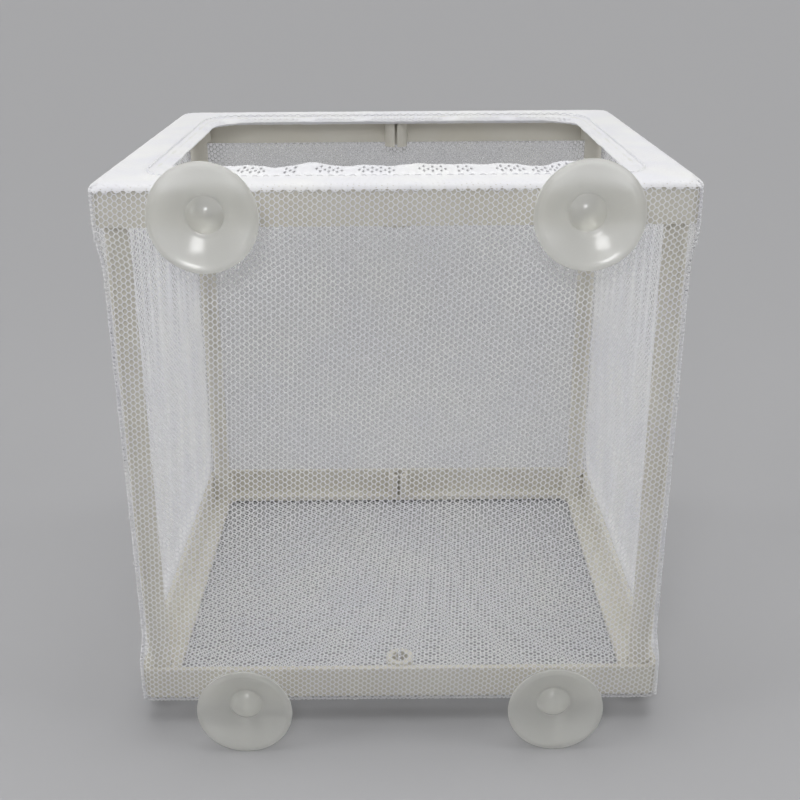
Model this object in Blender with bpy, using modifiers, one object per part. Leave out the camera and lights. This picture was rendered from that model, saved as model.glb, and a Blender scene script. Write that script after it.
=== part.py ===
"""Fish breeding net: two moulded rings held apart by four rods inside a tulle bag, on four suction cups.

All sizes are in metres and +Z is up. The box is modelled with its front rail's outer face at y = 0 and the
underside of its bottom ring at z = 0. The origin empty then carries it, so that the world origin is the
middle of the whole part, at the height of its lowest cup rims.
"""

import math

import bmesh
import bpy
from mathutils import Matrix

for old in list(bpy.data.objects):
    bpy.data.objects.remove(old, do_unlink=True)

# Driving sizes of the box
BOX_WIDTH = 0.160
BOX_DEPTH = 0.145
BOX_HEIGHT = 0.160

# Moulded rings: an upright wall and a ledge that points inwards
RAIL_HEIGHT = 0.0107
WALL = 0.0018
LEDGE_WIDTH = 0.0088
LEDGE_THICKNESS = 0.0018
CORNER_RADIUS = 0.003
EDGE_RADIUS = 0.0012
LEDGE_CORNER_RADIUS = 0.003

# Corner rods and the collars that hold them
POST_DIAMETER = 0.0065
POST_CHAMFER = 0.0004
COLLAR_WALL = 0.0013
COLLAR_HEIGHT = 0.0095

# Slit tubes in the middle of the front and back rails
TUBE_DIAMETER = 0.0084
TUBE_BORE = 0.005
TUBE_SLIT = 0.001
TUBE_PROUD = 0.0008
TUBE_JOIN = 0.0004

# Suction cups
CUP_DIAMETER = 0.0285
CUP_STANDOFF = 0.014
TOP_CUP_INSET = 0.0315
BOTTOM_CUP_INSET = 0.0335
CUP_HOLLOW = 0.0045
BOSS_RADIUS = 0.0049
BOSS_HEIGHT = 0.0025
BOSS_LIFT = 0.0004
CUP_LIP_WIDTH = 0.0013
CUP_LIP_THICKNESS = 0.0008
CUP_BACK_RISE = 0.0058
CUP_BACK_CURVE = 1.3
COLUMN_DIAMETER = 0.0104
BUTTON_LIP = 0.0008
BUTTON_LENGTH = 0.0029

# Tulle bag, its seams and the elastic in its hem
NET_THICKNESS = 0.0006
SEAM_DIAMETER = 0.0014
CUFF_WIDTH = 0.0135
CUFF_CORNER_RADIUS = 0.014
ELASTIC_DIAMETER = 0.0016
GAP_PITCH = 0.0178
THREAD_WIDTH = 0.0022
NET_BORDER = 0.0015

# Clearances
FIT_GAP = 0.0003
NET_GAP = 0.0003
HOLE_CLEARANCE = 0.0003
BUTTON_CLEARANCE = 0.00035
OVERRUN = 0.002
WELD = 0.000001

# Counts of facets
ROUND_STEPS = 32
ROD_STEPS = 24
THREAD_STEPS = 10
ARC_STEPS = 4
HOLE_STEPS = 16

# Sizes that follow from those above
POST_INSET = WALL + POST_DIAMETER / 2
SOCKET_RADIUS = POST_DIAMETER / 2 + FIT_GAP
COLLAR_RADIUS = SOCKET_RADIUS + COLLAR_WALL
TUBE_INSET = WALL + TUBE_DIAMETER / 2 - TUBE_JOIN
CUP_HEIGHT = RAIL_HEIGHT / 2
BUTTON_RADIUS = RAIL_HEIGHT / 2 - LEDGE_THICKNESS - BUTTON_CLEARANCE
NECK_RADIUS = BUTTON_RADIUS - BUTTON_LIP
HOLE_RADIUS = NECK_RADIUS + HOLE_CLEARANCE
NET_MIDDLE = NET_GAP + NET_THICKNESS / 2
NET_FACE = NET_GAP + NET_THICKNESS
SEAM_KEEP = SEAM_DIAMETER / 2 + FIT_GAP
PANEL_EDGE = NET_MIDDLE - SEAM_KEEP
COLUMN_FOOT = NET_FACE + FIT_GAP
TOP_CUP_PLACES = (TOP_CUP_INSET - BOX_WIDTH / 2, BOX_WIDTH / 2 - TOP_CUP_INSET)
BOTTOM_CUP_PLACES = (BOTTOM_CUP_INSET - BOX_WIDTH / 2, BOX_WIDTH / 2 - BOTTOM_CUP_INSET)


def new_collection(name):
    collection = bpy.data.collections.new(name)
    bpy.context.scene.collection.children.link(collection)
    return collection


PARTS = new_collection("fish_breeding_net")
CUTTERS = new_collection("cutters")


def new_material(name, colour, roughness, transmission=0):
    made = bpy.data.materials.new(name)
    made.use_nodes = True
    shader = made.node_tree.nodes["Principled BSDF"]
    shader.inputs["Base Color"].default_value = (*colour, 1)
    shader.inputs["Roughness"].default_value = roughness
    shader.inputs["Metallic"].default_value = 0
    shader.inputs["Transmission Weight"].default_value = transmission
    made.diffuse_color = (*colour, 1)
    return made


IVORY_PLASTIC = new_material("ivory_plastic", (0.80, 0.79, 0.70), 0.38)
WHITE_TULLE = new_material("white_tulle", (0.86, 0.87, 0.90), 0.75)
SEWN_THREAD = new_material("sewn_thread", (0.90, 0.90, 0.90), 0.80)
WHITE_ELASTIC = new_material("white_elastic", (0.88, 0.88, 0.86), 0.65)
CLEAR_PVC = new_material("clear_pvc", (0.80, 0.84, 0.80), 0.22, 0.85)


def new_origin():
    """The empty that carries the box, so that the world origin is under the middle of the whole part."""
    front = -CUP_STANDOFF
    back = BOX_DEPTH + NET_MIDDLE + SEAM_DIAMETER / 2
    below_cups = CUP_DIAMETER / 2 - CUP_HEIGHT
    below_seam = NET_MIDDLE + SEAM_DIAMETER / 2
    empty = bpy.data.objects.new("box_origin", None)
    empty.location = (0, -(front + back) / 2, max(below_cups, below_seam))
    PARTS.objects.link(empty)
    return empty


ORIGIN = new_origin()


def new_part(name, mesh, material, location=(0, 0, 0), rotation=(0, 0, 0)):
    part = bpy.data.objects.new(name, mesh)
    if not mesh.materials:
        mesh.materials.append(material)
    PARTS.objects.link(part)
    part.parent = ORIGIN
    part.location = location
    part.rotation_euler = rotation
    return part


def new_cutter(name, mesh):
    """A hidden wire body that a Boolean cuts away or joins on."""
    cutter = bpy.data.objects.new(name, mesh)
    CUTTERS.objects.link(cutter)
    cutter.hide_render = True
    cutter.display_type = "WIRE"
    cutter.parent = ORIGIN
    return cutter


def mesh_of(name, shape):
    mesh = bpy.data.meshes.new(name)
    shape.to_mesh(mesh)
    shape.free()
    return mesh


def smooth(mesh, angle=math.radians(35)):
    mesh.shade_smooth()
    mesh.set_sharp_from_angle(angle=angle)


def place(shape, verts, size, centre):
    """Scales and moves the vertices of one new primitive in a mesh that holds several."""
    bmesh.ops.scale(shape, verts=verts, vec=size)
    bmesh.ops.translate(shape, verts=verts, vec=centre)


def block(low, high, corner_radius=0, lower_edge_radius=0):
    """A box between two corners, with its upright edges rounded and then the edges of its underside."""
    shape = bmesh.new()
    size = [h - l for l, h in zip(low, high)]
    centre = [(l + h) / 2 for l, h in zip(low, high)]
    place(shape, bmesh.ops.create_cube(shape, size=1)["verts"], size, centre)
    rounded = ((corner_radius, upright_edges), (lower_edge_radius, underside_edges))
    for radius, chosen in rounded:
        if radius:
            bmesh.ops.bevel(
                shape,
                geom=chosen(shape),
                offset=radius,
                segments=ARC_STEPS,
                profile=0.5,
                affect="EDGES",
            )
    return shape


def upright_edges(shape):
    return [e for e in shape.edges if e.verts[0].co.xy == e.verts[1].co.xy]


def underside_edges(shape):
    lowest = min(v.co.z for v in shape.verts)
    return [e for e in shape.edges if all(v.co.z == lowest for v in e.verts)]


def cylinders(radius, steps, ends):
    """Upright cylinders of one radius, one for each (x, y, lowest z, highest z)."""
    shape = bmesh.new()
    for x, y, low, high in ends:
        made = bmesh.ops.create_cone(
            shape,
            cap_ends=True,
            segments=steps,
            radius1=radius,
            radius2=radius,
            depth=high - low,
        )
        bmesh.ops.translate(shape, verts=made["verts"], vec=(x, y, (low + high) / 2))
    return shape


def combine(part, name, operation, shape):
    """Adds a Boolean to a part, with a hidden cutter made of the shape."""
    modifier = part.modifiers.new(name, "BOOLEAN")
    modifier.operation = operation
    modifier.solver = "EXACT"
    modifier.object = new_cutter(f"{part.name}_{name}", mesh_of(name, shape))


def corners(inset):
    """The four places inside the box's corners, in order front left, front right, back left, back right."""
    across = BOX_WIDTH / 2 - inset
    return [(x, y) for y in (inset, BOX_DEPTH - inset) for x in (-across, across)]


def ring_mesh(cup_places):
    """One moulded ring, ledge down, with holes at these places along its front rail."""
    half = BOX_WIDTH / 2
    outer = block((-half, 0, 0), (half, BOX_DEPTH, RAIL_HEIGHT), CORNER_RADIUS, EDGE_RADIUS)
    ring = bpy.data.objects.new("ring", mesh_of("ring", outer))
    CUTTERS.objects.link(ring)
    ring.parent = ORIGIN
    inside = half - WALL
    cavity = block(
        (-inside, WALL, LEDGE_THICKNESS),
        (inside, BOX_DEPTH - WALL, RAIL_HEIGHT + OVERRUN),
        CORNER_RADIUS - WALL / 2,
    )
    opening_half = half - LEDGE_WIDTH
    opening = block(
        (-opening_half, LEDGE_WIDTH, -OVERRUN),
        (opening_half, BOX_DEPTH - LEDGE_WIDTH, LEDGE_THICKNESS + OVERRUN),
        LEDGE_CORNER_RADIUS,
    )
    foot = LEDGE_THICKNESS / 2
    collars = cylinders(
        COLLAR_RADIUS,
        ROD_STEPS,
        [(x, y, foot, COLLAR_HEIGHT) for x, y in corners(POST_INSET)],
    )
    tube_top = RAIL_HEIGHT + TUBE_PROUD
    middles = [TUBE_INSET, BOX_DEPTH - TUBE_INSET]
    tubes = cylinders(TUBE_DIAMETER / 2, ROD_STEPS, [(0, y, foot, tube_top) for y in middles])
    above = tube_top + OVERRUN
    sockets = cylinders(
        SOCKET_RADIUS,
        ROD_STEPS,
        [(x, y, LEDGE_THICKNESS, above) for x, y in corners(POST_INSET)],
    )
    bores = cylinders(TUBE_BORE / 2, ROD_STEPS, [(0, y, LEDGE_THICKNESS, above) for y in middles])
    combine(ring, "cavity", "DIFFERENCE", cavity)
    combine(ring, "opening", "DIFFERENCE", opening)
    combine(ring, "collars", "UNION", collars)
    combine(ring, "tubes", "UNION", tubes)
    combine(ring, "sockets", "DIFFERENCE", sockets)
    combine(ring, "bores", "DIFFERENCE", bores)
    combine(ring, "slits", "DIFFERENCE", slits(middles, above))
    combine(ring, "cup_holes", "DIFFERENCE", cup_holes(cup_places))
    graph = bpy.context.evaluated_depsgraph_get()
    mesh = bpy.data.meshes.new_from_object(ring.evaluated_get(graph))
    mesh.name = "moulded_ring"
    bpy.data.objects.remove(ring, do_unlink=True)
    smooth(mesh)
    return mesh


def slits(middles, above):
    """The cut down the side of each tube that faces the middle of the box."""
    shape = bmesh.new()
    reach = TUBE_DIAMETER / 2 + OVERRUN
    for y, inwards in zip(middles, (1, -1)):
        verts = bmesh.ops.create_cube(shape, size=1)["verts"]
        size = (TUBE_SLIT, reach, above - LEDGE_THICKNESS)
        centre = (0, y + inwards * reach / 2, (above + LEDGE_THICKNESS) / 2)
        place(shape, verts, size, centre)
    return shape


def cup_holes(cup_places):
    """Drills through the front wall, along Y."""
    shape = cylinders(
        HOLE_RADIUS,
        HOLE_STEPS,
        [(x, CUP_HEIGHT, -WALL - OVERRUN, OVERRUN) for x in cup_places],
    )
    quarter_turn = Matrix.Rotation(math.pi / 2, 3, "X")
    bmesh.ops.rotate(shape, verts=shape.verts, cent=(0, 0, 0), matrix=quarter_turn)
    return shape


def build_rings():
    bottom = ring_mesh(BOTTOM_CUP_PLACES)
    new_part("bottom_frame", bottom, IVORY_PLASTIC)
    top = ring_mesh(TOP_CUP_PLACES)
    new_part("top_frame", top, IVORY_PLASTIC, (0, 0, BOX_HEIGHT), (0, math.pi, 0))


def build_posts():
    foot = LEDGE_THICKNESS + FIT_GAP
    length = BOX_HEIGHT - 2 * foot
    shape = cylinders(POST_DIAMETER / 2, ROD_STEPS, [(0, 0, 0, length)])
    rims = [e for e in shape.edges if e.verts[0].co.z == e.verts[1].co.z]
    bmesh.ops.bevel(shape, geom=rims, offset=POST_CHAMFER, segments=1, affect="EDGES")
    mesh = mesh_of("post", shape)
    smooth(mesh)
    names = ("post_front_left", "post_front_right", "post_back_left", "post_back_right")
    for name, (x, y) in zip(names, corners(POST_INSET)):
        new_part(name, mesh, IVORY_PLASTIC, (x, y, foot))


def cup_profile():
    """(radius, height towards the glass), from the boss in the hollow out over the rim to the button."""
    rim = CUP_DIAMETER / 2
    column = COLUMN_DIAMETER / 2
    lip = rim - CUP_LIP_WIDTH
    hollow_foot = CUP_STANDOFF - CUP_HOLLOW
    points = []
    boss_curve = (BOSS_RADIUS**2 + BOSS_HEIGHT**2) / (2 * BOSS_HEIGHT)
    boss_middle = hollow_foot + BOSS_LIFT + BOSS_HEIGHT - boss_curve
    boss_shares = (0, 0.35, 0.65, 0.87, 1)
    for share in boss_shares:
        radius = BOSS_RADIUS * share
        points.append((radius, boss_middle + math.sqrt(boss_curve**2 - radius**2)))
    hollow_shares = (0.5, 0.75, 0.9)
    for share in hollow_shares:
        points.append((lip * share, hollow_foot + CUP_HOLLOW * share**2))
    points += [(lip, CUP_STANDOFF), (rim, CUP_STANDOFF)]
    shoulder = CUP_STANDOFF - CUP_LIP_THICKNESS
    back_shares = (0, 0.25, 0.5, 0.75, 1)
    for share in back_shares:
        radius = rim + (column - rim) * share
        points.append((radius, shoulder - CUP_BACK_RISE * share**CUP_BACK_CURVE))
    points.append((column, COLUMN_FOOT))
    points.append((NECK_RADIUS, COLUMN_FOOT))
    button_face = -WALL - FIT_GAP
    points.append((NECK_RADIUS, button_face))
    points.append((BUTTON_RADIUS, button_face))
    dome_shares = ((1, 0.4), (0.8, 0.78), (0.45, 0.95), (0, 1))
    for across, along in dome_shares:
        points.append((BUTTON_RADIUS * across, button_face - BUTTON_LENGTH * along))
    return points


def build_cups():
    shape = bmesh.new()
    verts = [shape.verts.new((radius, 0, height)) for radius, height in cup_profile()]
    for first, second in zip(verts, verts[1:]):
        shape.edges.new((first, second))
    mesh = mesh_of("cup", shape)
    rows = (
        ("bottom", CUP_HEIGHT, BOTTOM_CUP_PLACES),
        ("top", BOX_HEIGHT - CUP_HEIGHT, TOP_CUP_PLACES),
    )
    for level, height, places in rows:
        for side, x in zip(("left", "right"), places):
            cup = new_part(f"cup_{level}_{side}", mesh, CLEAR_PVC, (x, 0, height), (math.pi / 2, 0, 0))
            turn = cup.modifiers.new("turn", "SCREW")
            turn.axis = "Z"
            turn.steps = ROUND_STEPS
            turn.render_steps = ROUND_STEPS
            turn.use_merge_vertices = True
            turn.merge_threshold = WELD
            turn.use_smooth_shade = True


def loop_points(x_half, y_low, y_high, radius):
    """A rectangle with round corners, as points in order round it."""
    centres = (
        (x_half - radius, y_high - radius, 0),
        (-x_half + radius, y_high - radius, 1),
        (-x_half + radius, y_low + radius, 2),
        (x_half - radius, y_low + radius, 3),
    )
    points = []
    for x, y, quarter in centres:
        for step in range(ARC_STEPS + 1):
            angle = (quarter + step / ARC_STEPS) * math.pi / 2
            points.append((x + radius * math.cos(angle), y + radius * math.sin(angle)))
    return points


def circle_points(x, y, radius, steps):
    angles = [2 * math.pi * step / steps for step in range(steps)]
    return [(x + radius * math.cos(a), y + radius * math.sin(a)) for a in angles]


def curve_mesh(name, curve):
    """Takes the curve's evaluated mesh, with its caps welded to its sides, and drops the curve."""
    holder = bpy.data.objects.new(name, curve)
    CUTTERS.objects.link(holder)
    graph = bpy.context.evaluated_depsgraph_get()
    mesh = bpy.data.meshes.new_from_object(holder.evaluated_get(graph))
    bpy.data.objects.remove(holder, do_unlink=True)
    shape = bmesh.new()
    shape.from_mesh(mesh)
    bmesh.ops.remove_doubles(shape, verts=shape.verts, dist=WELD)
    bmesh.ops.recalc_face_normals(shape, faces=shape.faces)
    shape.to_mesh(mesh)
    shape.free()
    mesh.name = name
    return mesh


def add_loop(curve, points):
    spline = curve.splines.new("POLY")
    spline.points.add(len(points) - 1)
    for point, (x, y) in zip(spline.points, points):
        point.co = (x, y, 0, 1)
    spline.use_cyclic_u = True


def plate_mesh(name, loops, thickness):
    """A flat plate about the XY plane. The first loop is its outline, and the rest are holes."""
    curve = bpy.data.curves.new(name, "CURVE")
    curve.dimensions = "2D"
    curve.fill_mode = "BOTH"
    curve.extrude = thickness / 2
    for points in loops:
        add_loop(curve, points)
    return curve_mesh(name, curve)


def wire_loop_mesh(name, points, diameter):
    """A closed loop of round wire in the XY plane."""
    curve = bpy.data.curves.new(name, "CURVE")
    curve.dimensions = "3D"
    curve.bevel_depth = diameter / 2
    curve.bevel_resolution = 1
    add_loop(curve, points)
    mesh = curve_mesh(name, curve)
    smooth(mesh)
    return mesh


def gaps(x_low, x_high, y_low, y_high):
    """Six-sided gaps in upright rows, each second row shifted by half a gap, that fill a window of net."""
    columns = max(1, round((x_high - x_low) / GAP_PITCH))
    rows = max(1, round((y_high - y_low) * math.sqrt(3) / 2 / GAP_PITCH))
    across = (x_high - x_low) / (columns + 1 / 3)
    along = (y_high - y_low) / rows
    half_width = across * 2 / 3 - THREAD_WIDTH / math.sqrt(3)
    half_height = (along - THREAD_WIDTH) / 2
    found = []
    for column in range(columns):
        shifted = column % 2
        x = x_low + across * (column + 2 / 3)
        for row in range(rows + shifted):
            y = y_low + along * (row + (1 - shifted) / 2)
            gap = [(x + half_width * a, y + half_height * b) for a, b in SIX_CORNERS]
            found.append([(across_at, clamp(up_at, y_low, y_high)) for across_at, up_at in gap])
    return found


def clamp(value, low, high):
    return min(max(value, low), high)


# Corners of a six-sided gap as shares of its half width and half height
SIX_TURNS = [turn * math.pi / 3 for turn in range(6)]
SIX_CORNERS = [(math.cos(turn), math.sin(turn) / math.sin(math.pi / 3)) for turn in SIX_TURNS]


def rectangle(x_low, x_high, y_low, y_high):
    return [(x_low, y_low), (x_high, y_low), (x_high, y_high), (x_low, y_high)]


def build_net_walls():
    window_low = RAIL_HEIGHT + TUBE_PROUD + NET_BORDER
    window_high = BOX_HEIGHT - window_low
    keep = POST_INSET + POST_DIAMETER / 2 + NET_BORDER
    half = BOX_WIDTH / 2 + PANEL_EDGE
    low = -PANEL_EDGE
    face_gaps = gaps(-BOX_WIDTH / 2 + keep, BOX_WIDTH / 2 - keep, window_low, window_high)
    outline = rectangle(-half, half, low, BOX_HEIGHT)
    necks = [
        circle_points(x, y, HOLE_RADIUS, HOLE_STEPS)
        for y, places in ((CUP_HEIGHT, BOTTOM_CUP_PLACES), (BOX_HEIGHT - CUP_HEIGHT, TOP_CUP_PLACES))
        for x in places
    ]
    upright = (math.pi / 2, 0, 0)
    front = plate_mesh("net_front", [outline, *necks, *face_gaps], NET_THICKNESS)
    new_part("net_front", front, WHITE_TULLE, (0, -NET_MIDDLE, 0), upright)
    back = plate_mesh("net_back", [outline, *face_gaps], NET_THICKNESS)
    new_part("net_back", back, WHITE_TULLE, (0, BOX_DEPTH + NET_MIDDLE, 0), upright)
    side_gaps = gaps(keep, BOX_DEPTH - keep, window_low, window_high)
    side_outline = rectangle(-PANEL_EDGE, BOX_DEPTH + PANEL_EDGE, low, BOX_HEIGHT)
    side = plate_mesh("net_side", [side_outline, *side_gaps], NET_THICKNESS)
    sideways = (math.pi / 2, 0, math.pi / 2)
    reach = BOX_WIDTH / 2 + NET_MIDDLE
    new_part("net_left", side, WHITE_TULLE, (-reach, 0, 0), sideways)
    new_part("net_right", side, WHITE_TULLE, (reach, 0, 0), sideways)


def build_net_floor():
    half = BOX_WIDTH / 2 + PANEL_EDGE
    keep = LEDGE_WIDTH + NET_BORDER
    inside = BOX_WIDTH / 2 - keep
    outline = rectangle(-half, half, -PANEL_EDGE, BOX_DEPTH + PANEL_EDGE)
    floor_gaps = gaps(-inside, inside, keep, BOX_DEPTH - keep)
    floor = plate_mesh("net_floor", [outline, *floor_gaps], NET_THICKNESS)
    new_part("net_floor", floor, WHITE_TULLE, (0, 0, -NET_MIDDLE))


def build_cuff():
    half = BOX_WIDTH / 2
    outline = loop_points(half + NET_FACE, -NET_FACE, BOX_DEPTH + NET_FACE, CORNER_RADIUS)
    inner = loop_points(half - CUFF_WIDTH, CUFF_WIDTH, BOX_DEPTH - CUFF_WIDTH, CUFF_CORNER_RADIUS)
    cuff = plate_mesh("net_cuff", [outline, inner], NET_THICKNESS)
    new_part("net_cuff", cuff, WHITE_TULLE, (0, 0, BOX_HEIGHT + NET_MIDDLE))
    inset = CUFF_WIDTH - ELASTIC_DIAMETER / 2
    path = loop_points(
        half - inset,
        inset,
        BOX_DEPTH - inset,
        CUFF_CORNER_RADIUS + ELASTIC_DIAMETER / 2,
    )
    elastic = wire_loop_mesh("hem_elastic", path, ELASTIC_DIAMETER)
    height = BOX_HEIGHT + NET_GAP - FIT_GAP - ELASTIC_DIAMETER / 2
    new_part("hem_elastic", elastic, WHITE_ELASTIC, (0, 0, height))


def build_seams():
    low = SEAM_KEEP - NET_MIDDLE
    upright = mesh_of("seam", cylinders(SEAM_DIAMETER / 2, THREAD_STEPS, [(0, 0, low, BOX_HEIGHT)]))
    smooth(upright)
    names = ("seam_front_left", "seam_front_right", "seam_back_left", "seam_back_right")
    for name, (x, y) in zip(names, corners(-NET_MIDDLE)):
        new_part(name, upright, SEWN_THREAD, (x, y, 0))
    path = loop_points(BOX_WIDTH / 2 + NET_MIDDLE, -NET_MIDDLE, BOX_DEPTH + NET_MIDDLE, SEAM_KEEP)
    floor_seam = wire_loop_mesh("seam_floor", path, SEAM_DIAMETER)
    new_part("seam_floor", floor_seam, SEWN_THREAD, (0, 0, -NET_MIDDLE))


build_rings()
build_posts()
build_cups()
build_net_walls()
build_net_floor()
build_cuff()
build_seams()
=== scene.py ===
import math

import bpy
import numpy as np
from mathutils import Matrix, Vector


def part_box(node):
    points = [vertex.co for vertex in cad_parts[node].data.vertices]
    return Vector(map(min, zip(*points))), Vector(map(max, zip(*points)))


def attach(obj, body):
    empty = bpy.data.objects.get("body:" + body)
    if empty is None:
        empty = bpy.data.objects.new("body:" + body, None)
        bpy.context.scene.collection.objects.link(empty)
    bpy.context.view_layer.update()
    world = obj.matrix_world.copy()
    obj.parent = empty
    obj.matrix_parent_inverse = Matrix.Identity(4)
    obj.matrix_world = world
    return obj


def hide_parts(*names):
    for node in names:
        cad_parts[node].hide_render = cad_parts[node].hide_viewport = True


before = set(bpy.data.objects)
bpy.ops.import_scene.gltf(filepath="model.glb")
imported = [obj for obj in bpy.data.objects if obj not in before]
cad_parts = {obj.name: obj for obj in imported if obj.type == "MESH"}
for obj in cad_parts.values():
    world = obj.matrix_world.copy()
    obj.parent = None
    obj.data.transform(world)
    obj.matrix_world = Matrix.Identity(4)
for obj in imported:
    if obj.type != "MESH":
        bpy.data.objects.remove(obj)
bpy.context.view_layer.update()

# Camera
# It stands where the photograph was taken from: in front of the box and above its top,
# looking down by about a quarter of a right angle, with a slight roll.
CAMERA_PLACE = Vector((0.00018, -0.35519, 0.22402))
CAMERA_PITCH = math.radians(-21.71)
CAMERA_YAW = math.radians(0.09)
CAMERA_ROLL = math.radians(-0.39)
CAMERA_LENS = 50.12
CAMERA_SENSOR = 36
CAMERA_NEAR = 0.01
CAMERA_FAR = 50
forward = Vector((
    math.sin(CAMERA_YAW) * math.cos(CAMERA_PITCH),
    math.cos(CAMERA_YAW) * math.cos(CAMERA_PITCH),
    math.sin(CAMERA_PITCH),
))
level_right = Vector((math.cos(CAMERA_YAW), -math.sin(CAMERA_YAW), 0))
level_up = level_right.cross(forward)
right = level_right * math.cos(CAMERA_ROLL) + level_up * math.sin(CAMERA_ROLL)
up = right.cross(forward)
bpy.ops.object.select_all(action="DESELECT")
bpy.ops.object.camera_add()
camera = bpy.context.object
camera.name = "camera"
camera.matrix_world = Matrix((
    (right.x, up.x, -forward.x, CAMERA_PLACE.x),
    (right.y, up.y, -forward.y, CAMERA_PLACE.y),
    (right.z, up.z, -forward.z, CAMERA_PLACE.z),
    (0, 0, 0, 1),
))
camera.data.lens = CAMERA_LENS
camera.data.sensor_width = CAMERA_SENSOR
camera.data.clip_start = CAMERA_NEAR
camera.data.clip_end = CAMERA_FAR
bpy.context.scene.camera = camera

# Floor
# A plain pale table top. The box leans back a little on it, because its two lower suction
# cups reach below its front edge: it touches at their rims and along the rear floor seam.
FLOOR_COLOUR = (0.45, 0.45, 0.46, 1)
FLOOR_REACH = 12
FLOOR_SEAM_RADIUS = 0.0007
rim_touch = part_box("cup_bottom_left")[0]
seam_low, seam_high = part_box("seam_floor")
seam_touch = Vector((0, seam_high.y - FLOOR_SEAM_RADIUS, seam_low.z))
floor_slope = (seam_touch.z - rim_touch.z) / (seam_touch.y - rim_touch.y)
bpy.ops.mesh.primitive_plane_add(size=2 * FLOOR_REACH, location=(0, rim_touch.y, rim_touch.z))
floor = bpy.context.object
floor.name = "floor"
floor.rotation_euler = (math.atan(floor_slope), 0, 0)


def new_material(name, colour, roughness):
    """A Principled material with its node tree, ready for its pattern."""
    material = bpy.data.materials.new(name)
    material.use_nodes = True
    shader = material.node_tree.nodes["Principled BSDF"]
    shader.inputs["Base Color"].default_value = colour
    shader.inputs["Roughness"].default_value = roughness
    return material, shader


def add_node(material, kind, **settings):
    node = material.node_tree.nodes.new(kind)
    for name, value in settings.items():
        setattr(node, name, value)
    return node


def join_nodes(material, start, end):
    material.node_tree.links.new(start, end)


def add_noise(material, scale, detail=2.0, stretch=(1, 1, 1)):
    """Noise on Object coordinates, so many bumps to the metre."""
    place = add_node(material, "ShaderNodeTexCoord")
    mapping = add_node(material, "ShaderNodeMapping")
    mapping.inputs["Scale"].default_value = stretch
    noise = add_node(material, "ShaderNodeTexNoise")
    noise.inputs["Scale"].default_value = scale
    noise.inputs["Detail"].default_value = detail
    join_nodes(material, place.outputs["Object"], mapping.inputs["Vector"])
    join_nodes(material, mapping.outputs["Vector"], noise.inputs["Vector"])
    return noise.outputs["Fac"]


def colour_between(material, factor, first, second, socket, low=0.35, high=0.65):
    """Runs a socket's colour from first to second as factor goes from low to high."""
    ramp = add_node(material, "ShaderNodeValToRGB")
    ramp.color_ramp.elements[0].position = low
    ramp.color_ramp.elements[0].color = first
    ramp.color_ramp.elements[1].position = high
    ramp.color_ramp.elements[1].color = second
    join_nodes(material, factor, ramp.inputs["Fac"])
    join_nodes(material, ramp.outputs["Color"], socket)


def value_between(material, factor, low, high, socket):
    """Runs a socket's number from low to high over the middle of a noise."""
    spread = add_node(material, "ShaderNodeMapRange")
    spread.inputs["From Min"].default_value = 0.3
    spread.inputs["From Max"].default_value = 0.7
    spread.inputs["To Min"].default_value = low
    spread.inputs["To Max"].default_value = high
    join_nodes(material, factor, spread.inputs["Value"])
    join_nodes(material, spread.outputs["Result"], socket)


def add_bump(material, shader, factor, height, strength=1.0):
    """Turns a factor into a relief of that height in metres, at that share of its full strength."""
    bump = add_node(material, "ShaderNodeBump")
    bump.inputs["Strength"].default_value = strength
    bump.inputs["Distance"].default_value = height
    join_nodes(material, factor, bump.inputs["Height"])
    join_nodes(material, bump.outputs["Normal"], shader.inputs["Normal"])


table_top, table_shader = new_material("pale_table", FLOOR_COLOUR, 0.9)
table_shader.inputs["Specular IOR Level"].default_value = 0.1
floor.data.materials.append(table_top)

# Light
# Soft lamps overhead, above the camera and low at each side, as in a small photo tent, so that
# the folded top and the corners are the brightest and the front faces stay a little greyer.
WORLD_LIGHT = 0.22
WORLD_PALE = 0.42
LAMP_SPREAD = 50
FRONT_LAMP_PLACE = (-0.03, -0.44, 0.36)
FRONT_LAMP_SIZE = 0.12
FRONT_LAMP_ENERGY = 0.5
FRONT_LAMP_TILT = (60, 0, -4)
world = bpy.data.worlds.new("room")
world.use_nodes = True
bpy.context.scene.world = world
room = world.node_tree
background = room.nodes["Background"]
background.inputs["Color"].default_value = (1, 1, 1, 1)
light_path = room.nodes.new("ShaderNodeLightPath")
seen = room.nodes.new("ShaderNodeMath")
seen.operation = "MAXIMUM"
seen_or_clear = room.nodes.new("ShaderNodeMath")
seen_or_clear.operation = "MAXIMUM"
brightness = room.nodes.new("ShaderNodeMapRange")
brightness.inputs["To Min"].default_value = WORLD_LIGHT
brightness.inputs["To Max"].default_value = WORLD_PALE
room.links.new(light_path.outputs["Is Camera Ray"], seen.inputs[0])
room.links.new(light_path.outputs["Is Glossy Ray"], seen.inputs[1])
room.links.new(seen.outputs[0], seen_or_clear.inputs[0])
room.links.new(light_path.outputs["Is Transmission Ray"], seen_or_clear.inputs[1])
room.links.new(seen_or_clear.outputs[0], brightness.inputs["Value"])
room.links.new(brightness.outputs["Result"], background.inputs["Strength"])


def add_lamp(name, lean, way_round, energy):
    """A soft lamp far away, leaning that far from overhead towards a side, all in degrees."""
    bpy.ops.object.light_add(type="SUN", location=(0, 0, 2))
    lamp = bpy.context.object
    lamp.name = name
    lamp.rotation_euler = (0, math.radians(lean), math.radians(way_round))
    lamp.data.angle = math.radians(LAMP_SPREAD)
    lamp.data.energy = energy


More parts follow.
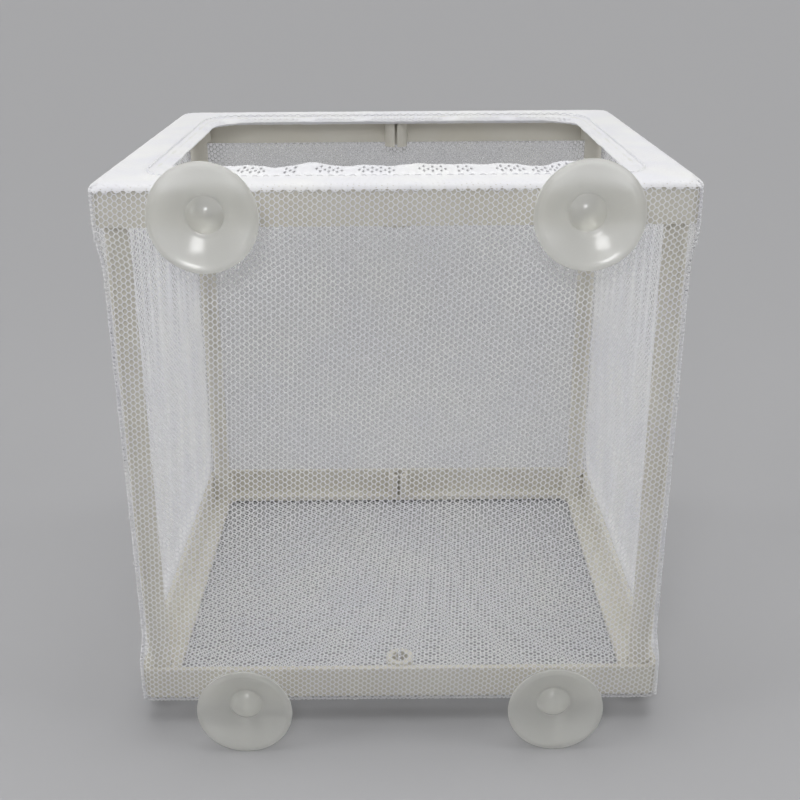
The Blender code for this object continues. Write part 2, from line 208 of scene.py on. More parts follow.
add_lamp("top_lamp", 10, 80, 1.15)
add_lamp("right_lamp", 74, 0, 1.35)
add_lamp("left_lamp", 74, 180, 1.5)
bpy.ops.object.light_add(type="AREA", location=FRONT_LAMP_PLACE)
front_lamp = bpy.context.object
front_lamp.name = "front_lamp"
front_lamp.data.size = FRONT_LAMP_SIZE
front_lamp.data.energy = FRONT_LAMP_ENERGY
front_lamp.rotation_euler = [math.radians(turn) for turn in FRONT_LAMP_TILT]
bpy.context.scene.view_settings.view_transform = "Standard"

# Rings and corner rods
# Two moulded frames of off-white plastic, joined by four push-in rods of the same plastic.
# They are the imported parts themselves, with the plastic's own slight mottling and grain.
IVORY_WARM = (0.70, 0.672, 0.59, 1)
IVORY_COOL = (0.735, 0.715, 0.645, 1)
ivory, ivory_shader = new_material("ivory_plastic", IVORY_WARM, 0.42)
mottling = add_noise(ivory, 45, 4)
colour_between(ivory, mottling, IVORY_WARM, IVORY_COOL, ivory_shader.inputs["Base Color"])
polish = add_noise(ivory, 260, 3)
value_between(ivory, polish, 0.36, 0.5, ivory_shader.inputs["Roughness"])
grain = add_noise(ivory, 1400, 3)
add_bump(ivory, ivory_shader, grain, 0.00003, 0.6)
plastic_nodes = ["bottom_frame", "top_frame"]
plastic_nodes += [f"post_{row}_{side}" for row in ("front", "back") for side in ("left", "right")]
for name in plastic_nodes:
    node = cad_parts[name]
    node.data.materials.clear()
    node.data.materials.append(ivory)

# Net walls
# White knitted tulle with six-sided meshes, cut as four walls and stretched over the rings.
# Between the rings it leaves their faces, draws in round the rods and hangs a little slack.
MESH_HEIGHT = 0.00173
MESH_STEP = 0.00124
MESH_HALF_WIDTH = 0.00091
THREAD_WIDTH = 0.00032
THREAD_DEPTH = 0.00020
NET_LIFT = 0.0006
RIM_ROUND = 0.0018
CORNER_ROUND = 0.0036
DRAW_IN = 0.0013
DRAW_LENGTH = 0.013
SLACK_RIPPLE = 0.0003
PLEAT_WIDTH = 0.0021
PLEAT_LENGTH = 0.075
KNIT_WELD = 0.00001
NECK_HOLE = 0.0028

ring_low, ring_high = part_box("bottom_frame")
top_ring_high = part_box("top_frame")[1]
HALF_X = ring_high.x + NET_LIFT
HALF_Y = (ring_high.y - ring_low.y) / 2 + NET_LIFT
MIDDLE_Y = (ring_high.y + ring_low.y) / 2
NET_LOW = ring_low.z - NET_LIFT
NET_HIGH = top_ring_high.z + NET_LIFT
RAIL_HEIGHT = 0.0107
WALL_LOW = ring_low.z + RAIL_HEIGHT
WALL_HIGH = top_ring_high.z - RAIL_HEIGHT


def only(obj):
    """Selects this object alone and makes it active."""
    if bpy.context.object and bpy.context.object.mode != "OBJECT":
        bpy.ops.object.mode_set(mode="OBJECT")
    bpy.ops.object.select_all(action="DESELECT")
    obj.select_set(True)
    bpy.context.view_layer.objects.active = obj


def repeat(obj, count, step):
    """Copies the mesh along a step, with the shared corners welded."""
    array = obj.modifiers.new("repeat", "ARRAY")
    array.count = count
    array.use_relative_offset = False
    array.use_constant_offset = True
    array.constant_offset_displace = step
    array.use_merge_vertices = True
    array.merge_threshold = KNIT_WELD
    only(obj)
    bpy.ops.object.modifier_apply(modifier=array.name)


def points_of(obj):
    points = np.empty(len(obj.data.vertices) * 3)
    obj.data.vertices.foreach_get("co", points)
    return points.reshape(-1, 3)


def set_points(obj, points):
    obj.data.vertices.foreach_set("co", np.ascontiguousarray(points, np.float32).ravel())
    obj.data.update()


def copy_of(obj, name):
    copy = obj.copy()
    copy.data = obj.data.copy()
    copy.name = name
    bpy.context.scene.collection.objects.link(copy)
    return copy


def knit(name, width, length):
    """A flat piece of tulle about the origin, still without its holes."""
    bpy.ops.object.select_all(action="DESELECT")
    bpy.ops.mesh.primitive_circle_add(
        vertices=6, radius=1, fill_type="NGON", rotation=(0, 0, math.pi / 6)
    )
    net = bpy.context.object
    net.name = name
    bpy.ops.object.transform_apply(location=False, rotation=True, scale=True)
    half_top = MESH_STEP - MESH_HALF_WIDTH
    points = points_of(net)
    at_side = np.abs(points[:, 0]) > 0.75
    points[:, 1] *= MESH_HEIGHT / 2 / math.sin(math.pi / 3)
    points[:, 0] = np.sign(points[:, 0]) * np.where(at_side, MESH_HALF_WIDTH, half_top)
    set_points(net, points)
    columns = math.ceil(width / MESH_STEP / 2)
    rows = math.ceil(length / MESH_HEIGHT)
    repeat(net, 2, (MESH_STEP, MESH_HEIGHT / 2, 0))
    repeat(net, columns, (2 * MESH_STEP, 0, 0))
    repeat(net, rows, (0, MESH_HEIGHT, 0))
    points = points_of(net)
    set_points(net, points - (points.min(0) + points.max(0)) / 2)
    return net


def choose_faces(obj, chosen):
    """Goes into edit mode with these faces selected."""
    only(obj)
    bpy.ops.object.mode_set(mode="EDIT")
    bpy.ops.mesh.select_mode(type="FACE")
    bpy.ops.mesh.select_all(action="DESELECT")
    bpy.ops.object.mode_set(mode="OBJECT")
    obj.data.polygons.foreach_set("select", chosen)
    bpy.ops.object.mode_set(mode="EDIT")


def centres_of(obj):
    centres = np.empty(len(obj.data.polygons) * 3)
    obj.data.polygons.foreach_get("center", centres)
    return centres.reshape(-1, 3)


def open_holes(net, thread, depth, chosen=None):
    """Leaves the threads round each mesh: its sides are inset and sunk, and its middle goes."""
    if chosen is None:
        chosen = np.ones(len(net.data.polygons), bool)
    choose_faces(net, chosen)
    bpy.ops.mesh.inset(thickness=thread / 2, depth=-depth, use_individual=True)
    bpy.ops.mesh.delete(type="FACE")
    bpy.ops.object.mode_set(mode="OBJECT")


def trim(net, x_half, y_low, y_high):
    """Cuts a flat net to a rectangle."""
    only(net)
    cuts = (
        ((x_half, 0, 0), (1, 0, 0)),
        ((-x_half, 0, 0), (-1, 0, 0)),
        ((0, y_high, 0), (0, 1, 0)),
        ((0, y_low, 0), (0, -1, 0)),
    )
    bpy.ops.object.mode_set(mode="EDIT")
    for place, outwards in cuts:
        bpy.ops.mesh.select_all(action="SELECT")
        bpy.ops.mesh.bisect(plane_co=place, plane_no=outwards, clear_outer=True)
    bpy.ops.object.mode_set(mode="OBJECT")


def turned(points, degrees):
    angle = math.radians(degrees)
    x, y, z = points.T
    cos, sin = math.cos(angle), math.sin(angle)
    return np.stack((x * cos - y * sin, x * sin + y * cos, z), 1)


def ease(value):
    value = np.clip(value, 0, 1)
    return value * value * (3 - 2 * value)


def draw_at(height):
    """How far the net is drawn in at the rods, at a height."""
    from_low = ease((height - WALL_LOW) / DRAW_LENGTH)
    from_high = ease((WALL_HIGH - height) / DRAW_LENGTH)
    return DRAW_IN * from_low * from_high


def ripple(across, height, seed, across_period, height_period):
    """A slow even wave that never repeats over one wall."""
    total = 0
    for step in range(4):
        turn = seed * 1.7 + step * 2.4
        bend = np.sin(height / height_period * (1 + 0.37 * step) + turn * 1.3)
        total = total + np.sin(across / across_period * (1 + 0.53 * step) + turn + bend)
    return total / 4


def hang_wall(net, half_along, half_out, side, folds, seed):
    """Bends a flat net, upright in its Y, round one wall of the box."""
    along, height, lift = points_of(net).T
    straight_low = NET_LOW + RIM_ROUND
    straight_high = NET_HIGH - RIM_ROUND
    over = np.clip((height - straight_high) / RIM_ROUND, 0, math.pi / 2)
    under = np.clip((straight_low - height) / RIM_ROUND, 0, math.pi / 2)
    roll = over - under
    z = np.clip(height, straight_low, straight_high) + RIM_ROUND * np.sin(roll)
    rolled = RIM_ROUND * (1 - np.cos(roll))
    drawn = draw_at(z)
    free = drawn / DRAW_IN
    half_flat = half_along - CORNER_ROUND + CORNER_ROUND * math.pi / 4
    middle = np.cos(np.clip(along / half_flat, -1, 1) * math.pi / 2)
    slow_wave = ripple(along, z, seed, 0.009, 0.02)
    slack = free * (0.4 * drawn * middle + SLACK_RIPPLE * middle * slow_wave)
    from_top = ease((z - (WALL_HIGH - PLEAT_LENGTH)) / PLEAT_LENGTH)
    pleats = np.sin(along / PLEAT_WIDTH + 1.6 * np.sin(along / 0.011 + seed) + z / 0.03)
    slack = slack + folds * free**0.5 * from_top * np.minimum(middle * 4, 1) * pleats
    straight = half_along - drawn - rolled - CORNER_ROUND
    reach = straight + CORNER_ROUND * math.pi / 4
    run = along / half_flat * reach
    past = np.clip((np.abs(run) - straight) / CORNER_ROUND, 0, None)
    bend = np.minimum(past, math.pi / 4)
    round_it = CORNER_ROUND + lift * np.cos(roll)
    sign = np.sign(run)
    sideways = sign * (np.minimum(np.abs(run), straight) + round_it * np.sin(bend))
    spill = (past - bend) * CORNER_ROUND
    sideways += sign * spill * math.cos(math.pi / 4)
    flat_out = half_out - drawn - rolled + slack
    out = flat_out - CORNER_ROUND + round_it * np.cos(bend) + spill * math.sin(math.pi / 4)
    z = z + lift * np.sin(roll)
    cos, sin = (1, 0, -1, 0)[side], (0, 1, 0, -1)[side]
    x = sideways * cos + out * sin
    y = sideways * sin - out * cos
    set_points(net, np.stack((x, y + MIDDLE_Y, z), 1))


def smooth_faces(obj):
    only(obj)
    bpy.ops.object.shade_smooth()


TULLE_WHITE = (0.93, 0.93, 0.93, 1)
TULLE_LAVENDER = (0.88, 0.88, 0.92, 1)
tulle, tulle_shader = new_material("white_tulle", TULLE_WHITE, 0.6)
shading = add_noise(tulle, 60, 3)
colour_between(tulle, shading, TULLE_LAVENDER, TULLE_WHITE, tulle_shader.inputs["Base Color"])
fuzz = add_noise(tulle, 900, 2)
value_between(tulle, fuzz, 0.5, 0.75, tulle_shader.inputs["Roughness"])
tulle_shader.inputs["Sheen Weight"].default_value = 0.3
filaments = add_noise(tulle, 9000, 2)
add_bump(tulle, tulle_shader, filaments, 0.00003, 0.7)

SHEET_WIDTH = 0.176
SHEET_LENGTH = 0.176
sheet = knit("tulle_stock", SHEET_WIDTH, SHEET_LENGTH)
open_holes(sheet, THREAD_WIDTH, THREAD_DEPTH)
WALL_FLAT_LOW = NET_LOW + RIM_ROUND - RIM_ROUND * math.pi / 2
WALL_FLAT_HIGH = NET_HIGH - RIM_ROUND + RIM_ROUND * math.pi / 2
SEAM_ALLOWANCE = 0.0007
cup_names = [f"cup_{level}_{side}" for level in ("bottom", "top") for side in ("left", "right")]
cup_boxes = [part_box(name) for name in cup_names]
cup_places = [(low + high) / 2 for low, high in cup_boxes]
# Each wall's half width, its distance from the middle, the quarter turn that takes it to its
# side, how far its mesh is turned, in degrees, and how deep its small folds are.
walls = (
    ("front", HALF_X, HALF_Y, 0, -3.2, 0.0001),
    ("right", HALF_Y, HALF_X, 1, -1.4, 0.0005),
    ("back", HALF_X, HALF_Y, 2, 1.1, 0.0001),
    ("left", HALF_Y, HALF_X, 3, 0.7, 0.0006),
)
for name, half_along, half_out, side, tilt, folds in walls:
    wall = copy_of(sheet, f"tulle_{name}")
    points = turned(points_of(wall), tilt)
    points[:, 1] += (WALL_FLAT_LOW + WALL_FLAT_HIGH) / 2
    set_points(wall, points)
    half_flat = half_along - CORNER_ROUND + CORNER_ROUND * math.pi / 4
    trim(wall, half_flat + SEAM_ALLOWANCE, WALL_FLAT_LOW, WALL_FLAT_HIGH)
    hang_wall(wall, half_along, half_out, side, folds, side + 1)
    if name == "front":
        bpy.ops.object.mode_set(mode="EDIT")
        bpy.ops.mesh.select_all(action="DESELECT")
        bpy.ops.object.mode_set(mode="OBJECT")
        places = points_of(wall)
        near = np.zeros(len(places), bool)
        for place in cup_places:
            near |= np.hypot(places[:, 0] - place.x, places[:, 2] - place.z) < NECK_HOLE
        wall.data.vertices.foreach_set("select", near)
        bpy.ops.object.mode_set(mode="EDIT")
        bpy.ops.mesh.select_mode(type="VERT")
        bpy.ops.mesh.delete(type="VERT")
        bpy.ops.object.mode_set(mode="OBJECT")
    smooth_faces(wall)
    wall.data.materials.append(tulle)
    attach(wall, "net_box")
    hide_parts(f"net_{name}")

# Net floor
# A fifth piece of the same tulle, stretched under the lower ring, where it sags a little.
FLOOR_SAG = 0.0011
FLOOR_RIPPLE = 0.00025
FLOOR_TURN = 3.4
FLOOR_MARGIN = 0.0004
LEDGE_WIDTH = 0.0088
floor_half = (HALF_X - RIM_ROUND + FLOOR_MARGIN, HALF_Y - RIM_ROUND + FLOOR_MARGIN)
net_floor = copy_of(sheet, "tulle_floor")
set_points(net_floor, turned(points_of(net_floor), FLOOR_TURN))
trim(net_floor, floor_half[0], -floor_half[1], floor_half[1])
x, y, lift = points_of(net_floor).T
inside_x = np.clip(1 - (x / (HALF_X - LEDGE_WIDTH)) ** 2, 0, 1)
inside_y = np.clip(1 - (y / (HALF_Y - LEDGE_WIDTH)) ** 2, 0, 1)
uneven = FLOOR_RIPPLE * inside_x * inside_y * ripple(x, y, 9, 0.012, 0.02)
sag = FLOOR_SAG * np.sqrt(inside_x * inside_y) + uneven
set_points(net_floor, np.stack((x, MIDDLE_Y - y, NET_LOW - sag - lift), 1))
smooth_faces(net_floor)
net_floor.data.materials.append(tulle)
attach(net_floor, "net_box")
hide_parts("net_floor")
bpy.data.objects.remove(sheet)

# Cuff
# The walls' own net, folded in over the top ring and gathered by elastic, so that it is
# doubled at its hem. Past the elastic a narrow heading stands up in waves at the front.
CUFF_WIDTH = 0.0135
CUFF_THREAD = 0.00076
BAND_THREAD = 0.00122
CUFF_LIFT = 0.00006
HEADING = 0.0030
HEADING_BACK = 0.0004
LOOP_CORNER = 0.014
HOLES_FROM = 0.0007
HOLES_TO = 0.0028
BAND_FROM = 0.0031
CUFF_WELD = 0.00004
LOOSE_FROM = 0.0098
LOOSE_LENGTH = 0.0035
CRINKLE_WIDTH = 0.00105
CRINKLE = 0.00010
WAVE_IN = 0.0005
WAVE_UP = 0.0004
HEM_SINK = 0.0011
UNEVEN = 0.00006


def round_loop(half_x, half_y, corner, share):
    """Points of a rectangle with round corners, at shares of its way round from the front middle."""
    turns = np.linspace(0, math.pi / 2, 16)
    x, y = [0], [-half_y]
    for quarter, (side_x, side_y) in enumerate(((1, -1), (1, 1), (-1, 1), (-1, -1))):
        angles = turns + (quarter - 1) * math.pi / 2
        x.extend(side_x * (half_x - corner) + corner * np.cos(angles))
        y.extend(side_y * (half_y - corner) + corner * np.sin(angles))
    x.append(0)
    y.append(-half_y)
    steps = np.hypot(np.diff(x), np.diff(y))
    run = np.concatenate(([0], np.cumsum(steps))) / steps.sum()
    share = np.mod(share, 1)
    return np.interp(share, run, x), np.interp(share, run, y)


def cuff_place(share, inwards):
    """A place on the top, that far in from the net's outer face."""
    outer_x, outer_y = round_loop(HALF_X, HALF_Y, CORNER_ROUND, share)
    inner_x, inner_y = round_loop(HALF_X - CUFF_WIDTH, HALF_Y - CUFF_WIDTH, LOOP_CORNER, share)
    weight = inwards / CUFF_WIDTH
    return outer_x + (inner_x - outer_x) * weight, outer_y + (inner_y - outer_y) * weight


CUFF_COLUMNS = 204
CUFF_ROWS = 23
CUFF_LENGTH = CUFF_COLUMNS * 2 * MESH_STEP
# The fold's section from the ring's edge to the hem and back: how far in, how high, how much
# of it is heading, and how far the second layer lies from the first.
section = np.array((
    (-0.0001, -0.0021, 0, 0),
    (0.0, -0.0012, 0, 0),
    (0.0005, -0.0004, 0, 0),
    (0.0012, -0.0001, 0, 0),
    (0.0020, 0.0, 0, 0),
    (0.0095, 0.0001, 0, 0),
    (0.0116, 0.0001, 0, 0),
    (0.0127, 0.0004, 0, 0),
    (0.0133, 0.0004, 0, 0),
    (0.0133, 0.0004, 1, 0),
    (0.0134, 0.0003, 1, 1),
    (0.0135, 0.0002, 0, 1),
    (0.0136, -0.0013, 0, 0),
    (0.0127, -0.0024, 0, 0),
    (0.0114, -0.0014, 0, 0),
    (0.0102, -0.0005, 0, 0),
))
TIP_ROW = 10
steps_in, steps_up, steps_out, steps_back = np.diff(section, axis=0).T
lengths = np.hypot(steps_in, steps_up)
lengths = lengths + HEADING * np.abs(steps_out) + HEADING_BACK * np.abs(steps_back)
run = np.concatenate(([0], np.cumsum(lengths)))
tip_run = (run[TIP_ROW - 1] + run[TIP_ROW]) / 2

# Where the two layers' meshes lie over each other they close, apart from a few small holes.
cuff = knit("tulle_cuff", CUFF_LENGTH, CUFF_ROWS * MESH_HEIGHT)
rows_low = points_of(cuff)[:, 1].min()
rows_high = points_of(cuff)[:, 1].max()
half_row = MESH_HEIGHT / 2
tip_line = rows_low + half_row * round((rows_high - rows_low) * tip_run / run[-1] / half_row)
row_lines = (rows_low, tip_line, rows_high)
run_lines = (0, tip_run, run[-1])
centres = centres_of(cuff)
from_tip = np.abs(np.interp(centres[:, 1], row_lines, run_lines) - tip_run)
clusters = ripple(centres[:, 0], 0 * centres[:, 0], 11, 0.0042, 1)
in_heading = (from_tip > HOLES_FROM) & (from_tip < HOLES_TO) & (clusters > -0.15)
open_holes(cuff, CUFF_THREAD, THREAD_DEPTH, in_heading)
from_tip = np.abs(np.interp(centres_of(cuff)[:, 1], row_lines, run_lines) - tip_run)
whole = np.array([len(face.vertices) == 6 for face in cuff.data.polygons])
open_holes(cuff, BAND_THREAD, THREAD_DEPTH, whole & (from_tip > BAND_FROM))

along, across, lift = points_of(cuff).T
across = np.interp(across, row_lines, run_lines)
inwards, height, heading, second = (np.interp(across, run, column) for column in section.T)
share = along / CUFF_LENGTH
to_front = ease((-cuff_place(share, inwards)[1] / HALF_Y - 0.55) / 0.4)
to_back = ease((cuff_place(share, inwards)[1] / HALF_Y - 0.55) / 0.4)
tip = np.radians(-8 + 76 * to_front - 18 * to_back)
long_wave = ripple(along, 0 * along, 3, 0.0062, 1)
short_wave = np.sin(along / CRINKLE_WIDTH + 1.4 * np.sin(along / 0.0063))
loose = ease((inwards - LOOSE_FROM) / LOOSE_LENGTH)
teeth = 0.04 * np.sin(along * math.pi / MESH_STEP)
reach = HEADING * (1 + (0.05 + 0.27 * to_front) * long_wave + teeth) * heading
inwards = inwards + reach * np.cos(tip) + second * HEADING_BACK * np.sin(tip)
height = height + reach * np.sin(tip) - second * HEADING_BACK * np.cos(tip)
inwards = inwards + (CRINKLE * short_wave + WAVE_IN * long_wave) * loose * to_front
height = height + (CRINKLE * short_wave + WAVE_UP * long_wave) * loose * (0.3 + 0.2 * to_front)
height = height - HEM_SINK * loose * (1 - to_front) * (1 + 0.15 * long_wave)
height = height + UNEVEN * ripple(along, inwards, 5, 0.003, 0.004)
x, y = cuff_place(share, inwards)
layer_up = np.where(across < tip_run, 1.0, -1.0)
z = NET_HIGH + CUFF_LIFT + height + lift * layer_up
set_points(cuff, np.stack((x, y + MIDDLE_Y, z), 1))
only(cuff)
bpy.ops.object.mode_set(mode="EDIT")
bpy.ops.mesh.select_all(action="SELECT")
bpy.ops.mesh.remove_doubles(threshold=CUFF_WELD)
bpy.ops.object.mode_set(mode="OBJECT")
smooth_faces(cuff)
cuff.data.materials.append(tulle)
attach(cuff, "net_box")
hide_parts("net_cuff")

# Hem elastic
# A round elastic cord with a knitted white cover, which runs in the fold of the cuff.
ELASTIC_WIDTH = 0.0016
ELASTIC_INSET = 0.0127
ELASTIC_POINTS = 720


def thread_curve(name, runs, width, closed, sides=0):
    """Threads of one width along runs of points, as one mesh."""
    curve = bpy.data.curves.new(name, "CURVE")
    curve.dimensions = "3D"
    curve.bevel_depth = width / 2
    curve.bevel_resolution = sides
    curve.use_fill_caps = not closed
    for points in runs:
        spline = curve.splines.new("POLY")
        spline.points.add(len(points) - 1)
        padded = np.concatenate((points, np.ones((len(points), 1))), 1)
        spline.points.foreach_set("co", padded.astype(np.float32).ravel())
        spline.use_cyclic_u = closed
        spline.use_smooth = True
    threads = bpy.data.objects.new(name, curve)
    bpy.context.scene.collection.objects.link(threads)
    only(threads)
    bpy.ops.object.convert(target="MESH")
    return bpy.context.object


share = np.linspace(0, 1, ELASTIC_POINTS, endpoint=False)
x, y = cuff_place(share, ELASTIC_INSET)
wave = ripple(share * 0.6, 0 * share, 3, 0.0052, 1)
z = top_ring_high.z - ELASTIC_WIDTH / 2 + 0.0002 * wave
elastic = thread_curve("hem_cord", [np.stack((x, y + MIDDLE_Y, z), 1)], ELASTIC_WIDTH, True, 3)
elastic_white, elastic_shader = new_material("white_elastic", (0.88, 0.88, 0.86, 1), 0.7)
cover_fuzz = add_noise(elastic_white, 2500, 2)
value_between(elastic_white, cover_fuzz, 0.6, 0.85, elastic_shader.inputs["Roughness"])
cover_ribs = add_noise(elastic_white, 3000, 2, (1, 1, 2.5))
add_bump(elastic_white, elastic_shader, cover_ribs, 0.0002)
elastic.data.materials.append(elastic_white)
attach(elastic, "net_box")
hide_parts("hem_elastic")

# Hem stitching
# A line of machine stitches just outside the elastic that closes the fold round it.
STITCH_LENGTH = 0.0030
STITCH_WIDTH = 0.00034
STITCH_INSET = 0.0113
STITCH_RISE = 0.00022
STITCH_POINTS = 1560
STITCHED_LENGTH = 0.52
stitch_count = round(STITCHED_LENGTH / STITCH_LENGTH)
share = np.linspace(0, 1, STITCH_POINTS, endpoint=False)
x, y = cuff_place(share, STITCH_INSET)
in_and_out = np.tanh(2.2 * np.cos(stitch_count * share * 2 * math.pi))
z = NET_HIGH + 0.0001 + STITCH_RISE * in_and_out
stitches = thread_curve("hem_stitches", [np.stack((x, y + MIDDLE_Y, z), 1)], STITCH_WIDTH, True)
THREAD_LAVENDER = (0.84, 0.84, 0.88, 1)
THREAD_PALE = (0.91, 0.91, 0.91, 1)
thread_white, thread_shader = new_material("sewn_thread", THREAD_PALE, 0.7)
dye = add_noise(thread_white, 80, 2)
colour_between(thread_white, dye, THREAD_LAVENDER, THREAD_PALE, thread_shader.inputs["Base Color"])
twist = add_noise(thread_white, 9000, 2)
add_bump(thread_white, thread_shader, twist, 0.00004)
stitches.data.materials.append(thread_white)
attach(stitches, "net_box")

# Seams
# The walls' cut edges are overlocked together at the four corners and round the floor.
# Each seam is a soft ridge of looped thread with ragged ends of net in it.
SEAM_PITCH = 0.0012
SEAM_THREAD = 0.00030
SEAM_HALF_WIDTH = 0.00055
SEAM_HALF_HEIGHT = 0.00034
SEAM_LOOK = 0.0004
TUFT_PITCH = 0.0034
TUFT_END = 0.004
TUFT_STRAY = 0.0014
TUFT_LOW = 0.0001
TUFT_HIGH = 0.0006
TUFT_LEAN = 0.0004
TUFT_SIDE = 0.0003
TUFT_HALF_LENGTH = 0.0006


def overlock(path, outwards, closed, seed, ragged):
    """Looped threads round a path, whose ridge stands out along the outward directions."""
    rolls = np.random.default_rng(seed)
    steps = np.linalg.norm(np.diff(path, axis=0, append=path[:1] if closed else path[-1:]), axis=1)
    run = np.concatenate(([0], np.cumsum(steps[:-1])))
    length = steps.sum() if closed else run[-1]
    turns = round(length / SEAM_PITCH)
    ends = np.append(run, length) if closed else run
    line = np.concatenate((path, path[:1])) if closed else path
    ways = np.concatenate((outwards, outwards[:1])) if closed else outwards

    def read(table, distance):
        return np.stack([np.interp(distance, ends, table[:, k]) for k in range(3)], 1)

    def at(distance, out, side):
        """Places that far along the path, out from it and to its side."""
        keys = np.mod(distance, length) if closed else np.clip(distance, 0, length)
        ahead = read(line, np.clip(keys + SEAM_LOOK, 0, length))
        behind = read(line, np.clip(keys - SEAM_LOOK, 0, length))
        forwards = ahead - behind
        forwards /= np.linalg.norm(forwards, axis=1)[:, None]
        way = read(ways, keys)
        way /= np.linalg.norm(way, axis=1)[:, None]
        return read(line, keys) + way * out[:, None] + np.cross(forwards, way) * side[:, None]

    runs = []
    for hand in (1, -1):
        beats = np.linspace(0, turns, turns * 8, endpoint=not closed)
        angle = beats * 2 * math.pi
        wide = 1 + 0.25 * np.sin(beats * 0.83 + seed) * np.sin(beats * 0.31 + 2 * hand)
        out = SEAM_HALF_HEIGHT * (0.3 + np.cos(angle) * wide) * ragged
        side = hand * SEAM_HALF_WIDTH * np.sin(angle) * wide
        runs.append(at(beats / turns * length, out, side))
    tufts = []
    for start in np.arange(TUFT_END, length - TUFT_END, TUFT_PITCH):
        middle = start + rolls.uniform(-TUFT_STRAY, TUFT_STRAY)
        height = rolls.uniform(TUFT_LOW, TUFT_HIGH) * ragged
        lean = rolls.uniform(-TUFT_LEAN, TUFT_LEAN)
        bow = np.linspace(0, math.pi, 6)
        out = SEAM_HALF_HEIGHT * 0.6 * ragged + height * np.sin(bow)
        side = lean * np.sin(bow) + rolls.uniform(-TUFT_SIDE, TUFT_SIDE)
        tufts.append(at(middle + TUFT_HALF_LENGTH * np.cos(bow), out, side))
    return runs, tufts


def make_seam(name, path, outwards, closed, seed, node, ragged):
    runs, tufts = overlock(path, outwards, closed, seed, ragged)
    seam = thread_curve(name, runs, SEAM_THREAD, closed)
    ends = thread_curve(f"{name}_ends", tufts, SEAM_THREAD * 0.75, False)
    only(seam)
    ends.select_set(True)
    bpy.ops.object.join()
    seam = bpy.context.object
    seam.name = name
    seam.data.materials.clear()
    seam.data.materials.append(thread_white)
    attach(seam, "net_box")
    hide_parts(node)


CORNER_RAGGED = 1.0
FLOOR_RAGGED = 0.45
FLOOR_SEAM_INSET = 0.0009
SEAM_ROLL = 0.0006
corner_seams = (
    ("front_left", -1, -1),
    ("front_right", 1, -1),
    ("back_left", -1, 1),
    ("back_right", 1, 1),
)
for seed, (place, side_x, side_y) in enumerate(corner_seams):
    z = np.linspace(NET_LOW + 0.001, NET_HIGH - 0.0008, 160)
    drawn = draw_at(z)
    rolled = SEAM_ROLL * ease((z - (NET_HIGH - 0.0025)) / 0.002)
    diagonal = CORNER_ROUND / math.sqrt(2)
    x = side_x * (HALF_X - drawn - rolled - CORNER_ROUND + diagonal)
    y = side_y * (HALF_Y - drawn - rolled - CORNER_ROUND + diagonal) + MIDDLE_Y
    outwards = np.tile((side_x / math.sqrt(2), side_y / math.sqrt(2), 0), (len(z), 1))
    path = np.stack((x, y, z), 1)
    make_seam(f"overlock_{place}", path, outwards, False, seed + 1, f"seam_{place}", CORNER_RAGGED)
share = np.linspace(0, 1, 400, endpoint=False)
x, y = round_loop(
    HALF_X - FLOOR_SEAM_INSET, HALF_Y - FLOOR_SEAM_INSET, CORNER_ROUND - FLOOR_SEAM_INSET, share
)
wider_x, wider_y = round_loop(HALF_X, HALF_Y, CORNER_ROUND, share)
z = np.full(len(share), NET_LOW + 0.00024)
downwards = np.full(len(share), -FLOOR_SEAM_INSET * math.sqrt(3))
outwards = np.stack((wider_x - x, wider_y - y, downwards), 1)
path = np.stack((x, y + MIDDLE_Y, z), 1)
make_seam("overlock_floor", path, outwards, True, 7, "seam_floor", FLOOR_RAGGED)

# Suction cups
# Four turned cups of soft clear plastic gone a little cloudy, each with a thick stem whose
# button snaps through a hole in the front rail, so that the cup turns in it.
CUP_RADIUS = 0.01425
CUP_STANDOFF = 0.014
HOLLOW_DEPTH = 0.0045
LIP_RADIUS = 0.01295
STEM_RADIUS = 0.0052
BACK_FOOT = 0.0132
BACK_RISE = 0.0058
BACK_CURVE = 1.3
PROFILE_STEPS = 12
CUP_SIDES = 96
RAIL_FACE = ring_low.y
BOSS_RADIUS = 0.0049
BOSS_HEIGHT = 0.0025
BOSS_FOOT = 0.0099
boss_curve = (BOSS_RADIUS**2 + BOSS_HEIGHT**2) / (2 * BOSS_HEIGHT)
boss_middle = BOSS_FOOT + BOSS_HEIGHT - boss_curve
hollow = [
    (BOSS_RADIUS * step, boss_middle + math.sqrt(boss_curve**2 - (BOSS_RADIUS * step) ** 2))
    for step in (0.06, 0.2, 0.34, 0.46, 0.57, 0.67, 0.76, 0.84, 0.9, 0.95, 1)
]
hollow += [(0.0051, BOSS_FOOT + 0.00002), (0.0054, BOSS_FOOT + 0.00018)]
for step in (5.4, 6, 7, 8, 9, 10, 11, 12):
    height = CUP_STANDOFF - HOLLOW_DEPTH + HOLLOW_DEPTH * (step / PROFILE_STEPS) ** 2
    hollow.append((LIP_RADIUS * step / PROFILE_STEPS, height))
# The rest of the profile, in (radius, height towards the glass) from the rail's outer face:
# the rim's soft edge, the bell of the back, the stem with its neck, and the domed button.
rim = [
    (0.01330, 0.01400), (0.01400, 0.01400), (0.01417, 0.01394), (0.01425, 0.01378),
    (0.01425, 0.01350), (0.01417, 0.01328), (0.01400, 0.01314),
]
back = []
for step in range(1, PROFILE_STEPS):
    radius = CUP_RADIUS + (STEM_RADIUS - CUP_RADIUS) * step / PROFILE_STEPS
    back.append((radius, BACK_FOOT - BACK_RISE * (step / PROFILE_STEPS) ** BACK_CURVE))
stem = [
    (0.00553, 0.00772), (0.00530, 0.00735), (0.00520, 0.00690), (0.00520, 0.00500),
    (0.00520, 0.00150), (0.00512, 0.00128), (0.00490, 0.00120), (0.00262, 0.00120),
    (0.00245, 0.00110), (0.00240, 0.00090), (0.00240, -0.00195), (0.00248, -0.00210),
]
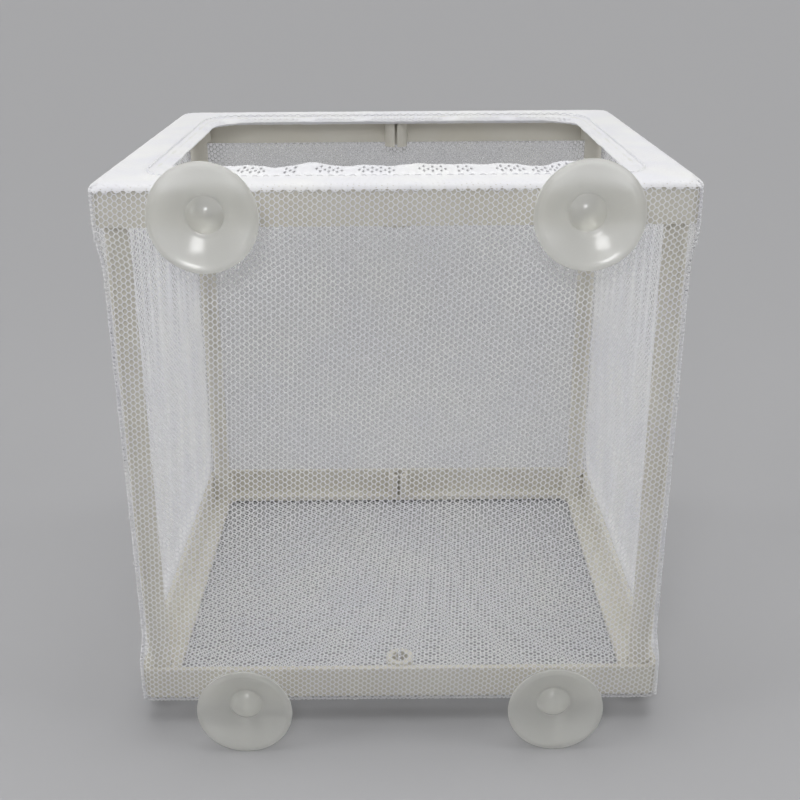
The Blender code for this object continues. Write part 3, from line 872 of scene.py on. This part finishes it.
button = [
    (0.00300, -0.00210), (0.00317, -0.00222), (0.00320, -0.00245), (0.00320, -0.00320),
    (0.00298, -0.00385), (0.00250, -0.00437), (0.00180, -0.00475), (0.00100, -0.00495),
    (0.00030, -0.00500),
]


def turn_profile(name, profile, steps):
    """A round shape drawn out ring by ring from its first radius, along Z, and closed."""
    bpy.ops.object.select_all(action="DESELECT")
    radius, height = profile[0]
    bpy.ops.mesh.primitive_circle_add(
        vertices=steps, radius=radius, fill_type="NGON", location=(0, 0, height)
    )
    shape = bpy.context.object
    shape.name = name
    bpy.ops.object.mode_set(mode="EDIT")
    bpy.ops.mesh.select_mode(type="EDGE")
    bpy.ops.mesh.select_all(action="SELECT")
    for (radius, height), (next_radius, next_height) in zip(profile, profile[1:]):
        bpy.ops.mesh.extrude_edges_move(
            TRANSFORM_OT_translate={"value": (0, 0, next_height - height)}
        )
        growth = next_radius / radius
        bpy.ops.transform.resize(value=(growth, growth, 1), center_override=(0, 0, next_height))
    bpy.ops.mesh.edge_face_add()
    bpy.ops.mesh.select_all(action="SELECT")
    bpy.ops.mesh.normals_make_consistent(inside=False)
    bpy.ops.object.mode_set(mode="OBJECT")
    bpy.ops.object.transform_apply(location=True, rotation=True, scale=True)
    return shape


cup_shape = turn_profile("cup", hollow + rim + back + stem + button, CUP_SIDES)
only(cup_shape)
bpy.ops.object.shade_smooth_by_angle(angle=math.radians(50))
CLOUDY_CLEAR = (0.97, 0.97, 0.93, 1)
soft_clear, clear_shader = new_material("clear_pvc", CLOUDY_CLEAR, 0.4)
clear_shader.inputs["Transmission Weight"].default_value = 0.76
clear_shader.inputs["Coat Weight"].default_value = 0.8
clear_shader.inputs["Coat Roughness"].default_value = 0.16
clear_shader.inputs["IOR"].default_value = 1.4
cloudiness = add_noise(soft_clear, 160, 3)
value_between(soft_clear, cloudiness, 0.38, 0.46, clear_shader.inputs["Roughness"])
for name, place in zip(cup_names, cup_places):
    cup = copy_of(cup_shape, f"suction_{name}")
    cup.rotation_euler = (math.pi / 2, 0, 0)
    cup.location = (place.x, RAIL_FACE, place.z)
    only(cup)
    bpy.ops.object.transform_apply(location=True, rotation=True, scale=True)
    cup.data.materials.append(soft_clear)
    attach(cup, name)
    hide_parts(name)
bpy.data.objects.remove(cup_shape)
